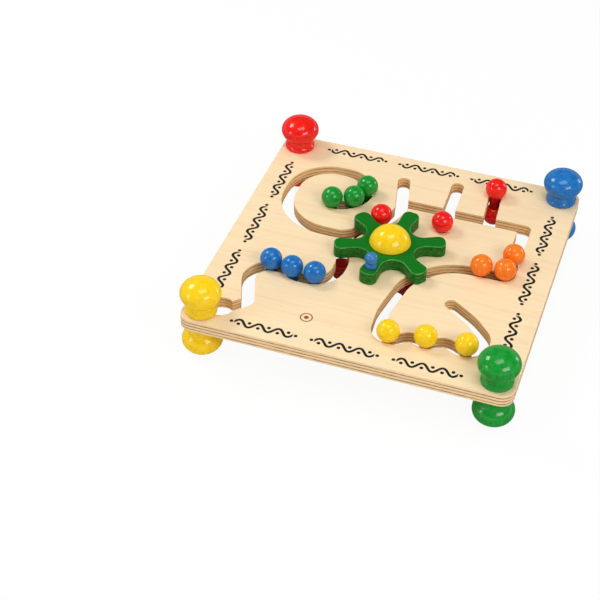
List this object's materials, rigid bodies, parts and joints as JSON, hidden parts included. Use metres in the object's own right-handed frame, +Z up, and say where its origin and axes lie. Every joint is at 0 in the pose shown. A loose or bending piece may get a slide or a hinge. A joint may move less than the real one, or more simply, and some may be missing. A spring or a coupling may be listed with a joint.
{
  "type": "bead maze",
  "caption": "Flat wooden bead maze: a square slotted board on round feet, with painted beads that slide along winding slots and a star-shaped wheel that carries them round.",
  "frame": {"origin": "under the middle of the board, on the surface that the feet stand on", "axes": "+Z up, square to the board; +X along the board from the red knob's side to the blue knob's side; +Y from the yellow knob's side to the red knob's side"},
  "size_m": [0.3028, 0.3028, 0.0784],
  "materials": {
    "birch_plywood": "clear satin lacquer on pale birch plywood with its plies showing on the edges",
    "red_paint": "glossy bright red paint on turned wood",
    "blue_paint": "glossy blue paint on turned wood",
    "yellow_paint": "glossy yellow paint on turned wood",
    "green_paint": "glossy green paint on turned wood",
    "orange_paint": "glossy orange paint on turned wood",
    "green_wheel_paint": "satin green paint on a flat wooden wheel, with faint grain",
    "dark_red_paint": "satin dark red paint on a flat wooden wheel",
    "bare_beech": "smooth bare beech"
  },
  "bodies": {
    "base": {"maze_board": "birch_plywood", "knob_red": "red_paint", "knob_blue": "blue_paint", "knob_yellow": "yellow_paint", "knob_green": "green_paint", "foot_red": "red_paint", "foot_blue": "blue_paint", "foot_yellow": "yellow_paint", "foot_green": "green_paint"},
    "wheel": {"wheel_top": "green_wheel_paint", "wheel_bottom": "dark_red_paint", "axle_peg": "bare_beech", "hub_dome": "yellow_paint", "crank_peg": "blue_paint"},
    "bead_green_1": {"bead_green_1_top_ball": "green_paint", "bead_green_1_stem": "bare_beech", "bead_green_1_bottom_ball": "green_paint"},
    "bead_green_2": {"bead_green_2_top_ball": "green_paint", "bead_green_2_stem": "bare_beech", "bead_green_2_bottom_ball": "green_paint"},
    "bead_green_3": {"bead_green_3_top_ball": "green_paint", "bead_green_3_stem": "bare_beech", "bead_green_3_bottom_ball": "green_paint"},
    "bead_red_1": {"bead_red_1_top_ball": "red_paint", "bead_red_1_stem": "bare_beech", "bead_red_1_bottom_ball": "red_paint"},
    "bead_red_2": {"bead_red_2_top_ball": "red_paint", "bead_red_2_stem": "bare_beech", "bead_red_2_bottom_ball": "red_paint"},
    "bead_red_3": {"bead_red_3_top_ball": "red_paint", "bead_red_3_stem": "bare_beech", "bead_red_3_bottom_ball": "red_paint"},
    "bead_orange_1": {"bead_orange_1_top_ball": "orange_paint", "bead_orange_1_stem": "bare_beech", "bead_orange_1_bottom_ball": "orange_paint"},
    "bead_orange_2": {"bead_orange_2_top_ball": "orange_paint", "bead_orange_2_stem": "bare_beech", "bead_orange_2_bottom_ball": "orange_paint"},
    "bead_orange_3": {"bead_orange_3_top_ball": "orange_paint", "bead_orange_3_stem": "bare_beech", "bead_orange_3_bottom_ball": "orange_paint"},
    "bead_yellow_1": {"bead_yellow_1_top_ball": "yellow_paint", "bead_yellow_1_stem": "bare_beech", "bead_yellow_1_bottom_ball": "yellow_paint"},
    "bead_yellow_2": {"bead_yellow_2_top_ball": "yellow_paint", "bead_yellow_2_stem": "bare_beech", "bead_yellow_2_bottom_ball": "yellow_paint"},
    "bead_yellow_3": {"bead_yellow_3_top_ball": "yellow_paint", "bead_yellow_3_stem": "bare_beech", "bead_yellow_3_bottom_ball": "yellow_paint"},
    "bead_blue_1": {"bead_blue_1_top_ball": "blue_paint", "bead_blue_1_stem": "bare_beech", "bead_blue_1_bottom_ball": "blue_paint"},
    "bead_blue_2": {"bead_blue_2_top_ball": "blue_paint", "bead_blue_2_stem": "bare_beech", "bead_blue_2_bottom_ball": "blue_paint"},
    "bead_blue_3": {"bead_blue_3_top_ball": "blue_paint", "bead_blue_3_stem": "bare_beech", "bead_blue_3_bottom_ball": "blue_paint"}
  },
  "joints": [
    {"name": "wheel_spin", "type": "hinge", "parent": "base", "child": "wheel", "pos_m": [0, 0, 0.0452], "axis": [0, 0, 1], "range_deg": [0, 66]},
    {"name": "red_1_carried_round", "type": "hinge", "parent": "base", "child": "bead_red_1", "pos_m": [0.03341, -0.01913, 0.0452], "axis": [0, 0, 1], "range_deg": [0, 34.32]},
    {"name": "red_2_slide", "type": "slide", "parent": "base", "child": "bead_red_2", "axis": [-0.0346, 0.9994, 0], "range_m": [0, 0.071]},
    {"name": "red_3_slide", "type": "slide", "parent": "base", "child": "bead_red_3", "axis": [0.0789, -0.9969, 0], "range_m": [-0.003, 0.041]},
    {"name": "green_3_round_spiral", "type": "hinge", "parent": "base", "child": "bead_green_3", "pos_m": [-0.0731, 0.0789, 0.0452], "axis": [0, 0, 1], "range_deg": [0, 95]},
    {"name": "green_2_round_spiral", "type": "hinge", "parent": "base", "child": "bead_green_2", "pos_m": [-0.0731, 0.0789, 0.0452], "axis": [0, 0, 1], "range_deg": [0, 95]},
    {"name": "green_1_round_spiral", "type": "hinge", "parent": "base", "child": "bead_green_1", "pos_m": [-0.0731, 0.0789, 0.0452], "axis": [0, 0, 1], "range_deg": [0, 95]},
    {"name": "orange_1_slide", "type": "slide", "parent": "base", "child": "bead_orange_1", "axis": [-0.9992, -0.0407, 0], "range_m": [0, 0.019]},
    {"name": "orange_2_round_corner", "type": "hinge", "parent": "base", "child": "bead_orange_2", "pos_m": [0.10594, 0.0061, 0.0452], "axis": [0, 0, 1], "range_deg": [-12, 38]},
    {"name": "orange_3_slide", "type": "slide", "parent": "base", "child": "bead_orange_3", "axis": [-0.0133, 0.9999, 0], "range_m": [0, 0.052]},
    {"name": "yellow_1_round_bend", "type": "hinge", "parent": "base", "child": "bead_yellow_1", "pos_m": [0.0321, -0.1012, 0.0452], "axis": [0, 0, 1], "range_deg": [-100, 24]},
    {"name": "yellow_2_round_bend", "type": "hinge", "parent": "base", "child": "bead_yellow_2", "pos_m": [0.06352, -0.09657, 0.0452], "axis": [0, 0, 1], "range_deg": [-24, 26]},
    {"name": "yellow_3_round_bend", "type": "hinge", "parent": "base", "child": "bead_yellow_3", "pos_m": [0.0966, -0.09316, 0.0452], "axis": [0, 0, 1], "range_deg": [-22, 95]},
    {"name": "blue_1_round_bend", "type": "hinge", "parent": "base", "child": "bead_blue_1", "pos_m": [-0.09216, -0.07286, 0.0452], "axis": [0, 0, 1], "range_deg": [0, 110]},
    {"name": "blue_2_slide", "type": "slide", "parent": "base", "child": "bead_blue_2", "axis": [-0.8712, 0.491, 0], "range_m": [-0.0008, 0.0008]},
    {"name": "blue_3_round_bend", "type": "hinge", "parent": "base", "child": "bead_blue_3", "pos_m": [-0.06054, -0.0375, 0.0452], "axis": [0, 0, 1], "range_deg": [0, 43]}
  ],
  "couplings": [
    {"joint": "red_1_carried_round", "follows": "wheel_spin", "ratio": 0.52},
    {"joint": "green_2_round_spiral", "follows": "green_3_round_spiral", "ratio": 1},
    {"joint": "green_1_round_spiral", "follows": "green_3_round_spiral", "ratio": 1}
  ]
}
